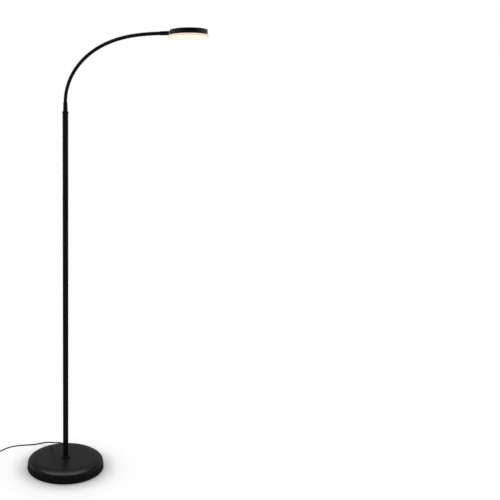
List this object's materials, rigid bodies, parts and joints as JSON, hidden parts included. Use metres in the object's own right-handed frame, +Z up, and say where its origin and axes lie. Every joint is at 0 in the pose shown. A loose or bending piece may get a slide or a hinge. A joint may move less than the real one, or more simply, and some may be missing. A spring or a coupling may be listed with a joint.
{
  "type": "floor lamp",
  "caption": "Gooseneck reading floor lamp: round weighted base, thin straight pole, flexible ribbed neck, flat round LED head, mains cord with in-line switch",
  "frame": {"origin": "underside of the base on the axis of the pole", "axes": "+Z up along the pole, +X towards the head, -Y towards the viewer"},
  "size_m": [0.6692, 0.3423, 1.2559],
  "materials": {
    "black_paint": "satin black powder coat",
    "neck_black": "satin black",
    "foam": "matt foam pad",
    "cast_iron": "rough",
    "zinc_steel": "zinc plated",
    "nylon": "matt",
    "cord_black": "smooth matt sheath",
    "switch_black": "fine moulded grain",
    "pin_metal": "nickel plated",
    "brass": "bright",
    "lead_sleeve": "matt",
    "spreader_aluminium": "rolled",
    "board_white": "white solder mask",
    "chip_yellow": "phosphor",
    "tray_white": "white",
    "diffuser_frosted": "frosted, lit from behind",
    "lens_clear": "clear",
    "board_green": "solder mask",
    "driver_black": "moulded"
  },
  "bodies": {
    "stand": {"base_cover": "black_paint", "base_pad": "foam", "ballast_disc": "cast_iron", "foot_washer": "zinc_steel", "foot_nut": "zinc_steel", "foot_collar": "black_paint", "foot_stud": "zinc_steel", "foot_insert": "zinc_steel", "pole_lower": "black_paint", "pole_middle": "black_paint", "pole_upper": "black_paint", "coupler_lower": "zinc_steel", "coupler_upper": "zinc_steel", "neck_insert": "zinc_steel", "pole_cap": "black_paint", "neck_socket": "black_paint", "neck_link_00": "neck_black", "cord_gland": "cord_black", "cord_tail": "cord_black", "wire_splice": "nylon", "pole_lead": "lead_sleeve", "neck_lead": "lead_sleeve", "cord_lamp_side": "cord_black", "cord_plug_side": "cord_black", "cord_coil": "cord_black", "cord_end": "cord_black", "plug_body": "switch_black", "plug_pins": "pin_metal", "switch_base": "switch_black", "switch_top": "switch_black", "switch_screws": "zinc_steel", "switch_contacts": "brass", "rocker_pin": "zinc_steel"},
    "neck_01": {"neck_link_01": "neck_black"},
    "neck_02": {"neck_link_02": "neck_black"},
    "neck_03": {"neck_link_03": "neck_black"},
    "neck_04": {"neck_link_04": "neck_black"},
    "neck_05": {"neck_link_05": "neck_black"},
    "neck_06": {"neck_link_06": "neck_black"},
    "neck_07": {"neck_link_07": "neck_black"},
    "neck_08": {"neck_link_08": "neck_black"},
    "neck_09": {"neck_link_09": "neck_black"},
    "neck_10": {"neck_link_10": "neck_black"},
    "neck_11": {"neck_link_11": "neck_black"},
    "neck_12": {"neck_link_12": "neck_black", "head_sleeve": "black_paint", "swivel_washers": "nylon", "neck_nut": "zinc_steel"},
    "head": {"head_housing": "black_paint", "heat_spreader": "spreader_aluminium", "led_board": "board_white", "board_screws": "zinc_steel", "led_chips": "chip_yellow", "reflector_tray": "tray_white", "diffuser": "diffuser_frosted", "centre_lens": "lens_clear", "driver_board": "board_green", "driver_parts": "driver_black", "head_lead": "lead_sleeve"},
    "rocker_body": {"rocker": "switch_black"}
  },
  "joints": [
    {"name": "neck_bend_1", "type": "hinge", "parent": "stand", "child": "neck_01", "pos_m": [0.00074, 0, 1.07851], "axis": [0, 1, 0], "range_deg": [-14, 15], "deforming": ["neck_lead"]},
    {"name": "neck_sway_1", "type": "hinge", "parent": "neck_01", "child": "neck_02", "pos_m": [0.00646, 0, 1.10655], "axis": [-0.9557, 0, 0.2942], "range_deg": [-12.5, 12.5]},
    {"name": "neck_bend_2", "type": "hinge", "parent": "neck_02", "child": "neck_03", "pos_m": [0.0174, 0, 1.13301], "axis": [0, 1, 0], "range_deg": [-14, 15]},
    {"name": "neck_sway_2", "type": "hinge", "parent": "neck_03", "child": "neck_04", "pos_m": [0.03286, 0, 1.1571], "axis": [-0.7925, 0, 0.6099], "range_deg": [-12.5, 12.5]},
    {"name": "neck_bend_3", "type": "hinge", "parent": "neck_04", "child": "neck_05", "pos_m": [0.05211, 0, 1.17831], "axis": [0, 1, 0], "range_deg": [-14, 15]},
    {"name": "neck_sway_3", "type": "hinge", "parent": "neck_05", "child": "neck_06", "pos_m": [0.07437, 0, 1.19632], "axis": [-0.5711, 0, 0.8208], "range_deg": [-12.5, 12.5]},
    {"name": "neck_bend_4", "type": "hinge", "parent": "neck_06", "child": "neck_07", "pos_m": [0.09894, 0, 1.21105], "axis": [0, 1, 0], "range_deg": [-14, 15]},
    {"name": "neck_sway_4", "type": "hinge", "parent": "neck_07", "child": "neck_08", "pos_m": [0.12517, 0, 1.22258], "axis": [-0.3488, 0, 0.9372], "range_deg": [-12.5, 12.5]},
    {"name": "neck_bend_5", "type": "hinge", "parent": "neck_08", "child": "neck_09", "pos_m": [0.15251, 0, 1.23115], "axis": [0, 1, 0], "range_deg": [-14, 15]},
    {"name": "neck_sway_5", "type": "hinge", "parent": "neck_09", "child": "neck_10", "pos_m": [0.18054, 0, 1.23711], "axis": [-0.1675, 0, 0.9859], "range_deg": [-12.5, 12.5]},
    {"name": "neck_bend_6", "type": "hinge", "parent": "neck_10", "child": "neck_11", "pos_m": [0.20895, 0, 1.24093], "axis": [0, 1, 0], "range_deg": [-14, 15]},
    {"name": "neck_sway_6", "type": "hinge", "parent": "neck_11", "child": "neck_12", "pos_m": [0.23752, 0, 1.2432], "axis": [-0.0606, 0, 0.9982], "range_deg": [-12.5, 12.5]},
    {"name": "head_turn", "type": "hinge", "parent": "neck_12", "child": "head", "pos_m": [0.2758, 0, 1.24525], "axis": [0.9986, 0, 0.0523], "range_deg": [-45, 45]},
    {"name": "rocker_press", "type": "hinge", "parent": "stand", "child": "rocker_body", "pos_m": [-0.243, 0.026, 0.0108], "axis": [0.9539, -0.3, 0], "range_deg": [-7, 7]}
  ]
}
